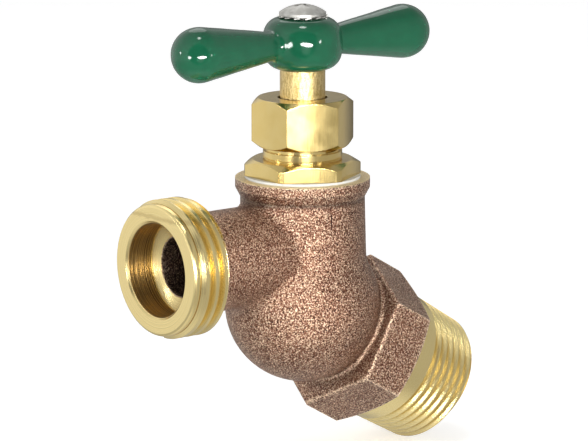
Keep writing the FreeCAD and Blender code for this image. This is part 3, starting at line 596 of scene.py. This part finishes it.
plated_steel = finish("plated_steel", zinc, Metallic=1.0)
white_fibre = finish("white_fibre", fibre, Roughness=0.8)
packing_fibre = finish("packing_fibre", packing, Roughness=0.8)
black_rubber = finish("black_rubber", rubber, Roughness=0.6)
dress("handle_screw", plated_steel)
dress("handle_lock_washer", plated_steel)
dress("bonnet_gasket", white_fibre)
dress("packing_ring", packing_fibre)
dress("seat_washer", black_rubber)

# %% [markdown]
# ## The toothed washer
#
# Under the screw's head lies a lock washer, stamped from spring steel with teeth round its edge.
# Each tooth is twisted, so that one corner bites the screw and the other the handle. Geometry
# Nodes makes one tooth and sets it round the ring by its number, so the count, the twist and
# the sizes stay inputs that can be changed.

# %% The washer's sizes
RING_SIDES = 84  # the ring's circle is drawn with this many sides
washer_low, washer_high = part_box("handle_lock_washer")
washer_reach = (washer_high.x - washer_low.x) / 2
washer_sizes = {
    "Teeth": 14,
    "Hole": 2.3 * MM,
    "Root": washer_reach - 1.3 * MM,
    "Reach": washer_reach - 0.03 * MM,
    "Tooth width": 1.15 * MM,
    "Thickness": 0.22 * MM,
    "Twist": math.radians(8.0),
    "Middle": (washer_low + washer_high) / 2,
}
print("washer, mm:", *in_mm([washer_reach]), in_mm(washer_sizes["Middle"]))

# %% The rule's inputs
KINDS = {int: "NodeSocketInt", float: "NodeSocketFloat", Vector: "NodeSocketVector"}
washer_rule = bpy.data.node_groups.new("toothed_washer_rule", "GeometryNodeTree")
washer_inputs = {
    name: washer_rule.interface.new_socket(name, in_out="INPUT", socket_type=KINDS[type(value)]).identifier
    for name, value in washer_sizes.items()
}
washer_rule.interface.new_socket("Washer", in_out="OUTPUT", socket_type="NodeSocketGeometry")
given = washer_rule.nodes.new("NodeGroupInput")
size = {name: Wire(washer_rule, given.outputs[name]) for name in washer_sizes}
add = Wire(washer_rule).node
print("inputs:", washer_inputs)

# %% The ring and one tooth
ring_section = {0: size["Root"] - size["Hole"], 1: size["Thickness"]}
band = add("GeometryNodeCurvePrimitiveQuadrilateral", None, ring_section)
ring_size = {"Resolution": RING_SIDES, "Radius": (size["Root"] + size["Hole"]) / 2}
circle = add("GeometryNodeCurvePrimitiveCircle", {"mode": "RADIUS"}, ring_size)
ring = add("GeometryNodeCurveToMesh", None, {"Curve": circle, "Profile Curve": band})
overlap = size["Thickness"]
tooth_size = {0: size["Reach"] - size["Root"] + overlap, 1: size["Tooth width"], 2: size["Thickness"]}
tooth_box = add("GeometryNodeMeshCube", None, {"Size": add("ShaderNodeCombineXYZ", None, tooth_size)})
tooth_pose = {
    "Geometry": tooth_box,
    "Translation": add("ShaderNodeCombineXYZ", None, {0: (size["Reach"] + size["Root"] - overlap) / 2}),
    "Rotation": add("ShaderNodeCombineXYZ", None, {0: size["Twist"]}),
}
tooth = add("GeometryNodeTransform", None, tooth_pose)
print("one tooth:", len(washer_rule.nodes), "nodes")

# %% The teeth round the ring
turn = add("GeometryNodeInputIndex") * math.tau / size["Teeth"]
posts = add("GeometryNodePoints", None, {"Count": size["Teeth"]})
around = add("ShaderNodeCombineXYZ", None, {2: turn})
circled = {"Points": posts, "Instance": tooth, "Rotation": around}
teeth = add("GeometryNodeInstanceOnPoints", None, circled)
joined = add("GeometryNodeJoinGeometry", None, {"Geometry": ring})
washer_rule.links.new(teeth.socket, joined.socket.node.inputs["Geometry"])
placed = add("GeometryNodeTransform", None, {"Geometry": joined, "Translation": size["Middle"]})
solid = add("GeometryNodeRealizeInstances", None, {"Geometry": placed})
plated = add("GeometryNodeSetMaterial", None, {"Geometry": solid, "Material": plated_steel})
washer_rule.links.new(plated.socket, washer_rule.nodes.new("NodeGroupOutput").inputs["Washer"])
print("the rule:", len(washer_rule.nodes), "nodes")

# %% The toothed washer itself
toothed_washer = bpy.data.objects.new("toothed_washer", bpy.data.meshes.new("toothed_washer"))
bpy.context.scene.collection.objects.link(toothed_washer)
stamping = toothed_washer.modifiers.new("stamping", "NODES")
stamping.node_group = washer_rule
for name, value in washer_sizes.items():
    stamping[washer_inputs[name]] = value
plain_mesh(toothed_washer)
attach(toothed_washer, "spindle")
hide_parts("handle_lock_washer")
heights = [corner.co.z for corner in toothed_washer.data.vertices]
print("teeth from and to, mm:", in_mm((min(heights), max(heights)), 3))

# %% [markdown]
# ## Floor
#
# A plain pale floor carries the tap. The photograph's ground is pure white, so the floor glows
# a little of its own. The brass and the enamel don't mirror it: they show the tent and its
# table, as they do in the photograph.

# %% Floor
bpy.ops.mesh.primitive_plane_add(size=6.0, location=(0.0, 0.0, cad_box[0].z))
floor = bpy.context.object
floor.name = "floor"
paper = bpy.data.materials.new("paper")
paper.use_nodes = True
paper_looks = {
    "Base Color": (0.9, 0.9, 0.9, 1.0),
    "Roughness": 0.9,
    "Emission Color": (1.0, 1.0, 1.0, 1.0),
    "Emission Strength": 0.4,
}
for name, value in paper_looks.items():
    paper.node_tree.nodes["Principled BSDF"].inputs[name].default_value = value
floor.data.materials.append(paper)
floor.visible_glossy = False
print("floor at, mm:", *in_mm([cad_box[0].z]))

# %% [markdown]
# ## The tent
#
# The photograph is a product shot in a white tent, and the shine on the brass and the enamel
# tells how the tent stood. It is pale all round, darker on the right, behind the tap and in the
# ceiling, with a table below. A dark opening is where the camera looks in, and a white card
# lies below the lens. The world is that tent, worked out from the direction that a ray takes.

# %% The tent
TENT = 0.82  # the walls' glow
RIGHT_SHADE, BACK_SHADE, CEILING_SHADE = 0.36, 0.5, 0.25  # what is taken off it
LEFT_PANEL = 0.12  # what a paler panel on the left, behind the tap, adds to it
TABLE_EDGE, TABLE_MIDDLE = 0.45, 0.3  # the table's glow, and what its middle adds
OPENING, OPENING_SHADE = 42.0, 0.85  # half the angle of the opening in degrees, and its shade
CARD, CARD_TURN, CARD_GLOW = 12.0, 8.0, 0.65  # half the card's angle, its turn and its glow


def cone(cosine, half, soft):
    """1 within half an angle of a direction, fading over soft degrees each side of it."""
    return cosine.between(math.cos(math.radians(half + soft)), math.cos(math.radians(half - soft)))


world = bpy.data.worlds.new("tent")
world.use_nodes = True
ray = Wire(world.node_tree).node("ShaderNodeTexCoord")
ahead = ray.vectors("DOT_PRODUCT", back, output=1)
aside = ray.vectors("DOT_PRODUCT", right, output=1)
above = ray.vectors("DOT_PRODUCT", UP, output=1)
card_way = way_to(AZIMUTH + CARD_TURN, -ELEVATION)
opening = cone(ahead, OPENING, 4.0)
card = cone(ray.vectors("DOT_PRODUCT", card_way, output=1), CARD, 3.0)
behind = (ahead * -1).between(0.75, 0.98)
panel = (ahead * -1).between(0.08, 0.25) * (aside * -1).between(0.6, 0.9)
down = above * -1
print("tent:", len(world.node_tree.nodes), "nodes to find the way")

# %% The tent's glow
walls = TENT - aside.between(-0.4, 0.8) * RIGHT_SHADE - behind * BACK_SHADE + panel * LEFT_PANEL
table = down.between(0.7, 0.95) * TABLE_MIDDLE + TABLE_EDGE
room = walls + down.between(0.1, 0.5) * (table - walls) - above.between(0.5, 0.95) * CEILING_SHADE
glow = room * (1 - opening * OPENING_SHADE) + card * CARD_GLOW
background = world.node_tree.nodes["Background"]
world.node_tree.links.new(glow.socket, background.inputs["Strength"])
background.inputs["Color"].default_value = (1.0, 1.0, 1.0, 1.0)
bpy.context.scene.world = world
bpy.context.scene.view_settings.view_transform = "Standard"  # so that white stays white
print("tent:", len(world.node_tree.nodes), "nodes with its glow")

# %% [markdown]
# ## The lamps
#
# A soft light hangs overhead and a long strip stands low in front: it makes the bright bands on
# the nut and the stem. A box on the left and two small spots leave the points of light on the
# handle, and a large lamp behind lifts the floor and the far edges. Round area lamps do it,
# because their reflections have no corners.

# %% The lamps


def soft_light(name, turn, height, distance, width, depth, power):
    """A round lamp that faces the tap: degrees from the camera's azimuth, metres and watts."""
    data = bpy.data.lights.new(name, "AREA")
    data.shape, data.size, data.size_y, data.energy = "ELLIPSE", width, depth, power
    lamp = bpy.data.objects.new(name, data)
    lamp.location = STEM + way_to(AZIMUTH + turn, 0.0) * distance
    lamp.location.z = height
    lamp.rotation_euler = (lamp.location - STEM).to_track_quat("Z", "Y").to_euler()
    lamp.visible_camera = False
    bpy.context.scene.collection.objects.link(lamp)
    print("lamp:", name, power, "W")


soft_light("overhead", 10.0, 0.9, 0.12, 0.2, 0.2, 0.9)
soft_light("front_strip", 12.0, 0.065, 0.42, 0.27, 0.06, 2.3)
soft_light("left_box", -36.0, 0.05, 0.6, 0.14, 0.12, 0.8)
soft_light("right_spot", 52.0, 0.12, 0.6, 0.06, 0.06, 0.15)
soft_light("far_left_spot", -79.0, 0.15, 0.6, 0.06, 0.08, 0.2)
soft_light("back_light", 185.0, 0.8, 0.7, 0.6, 0.6, 1.0)
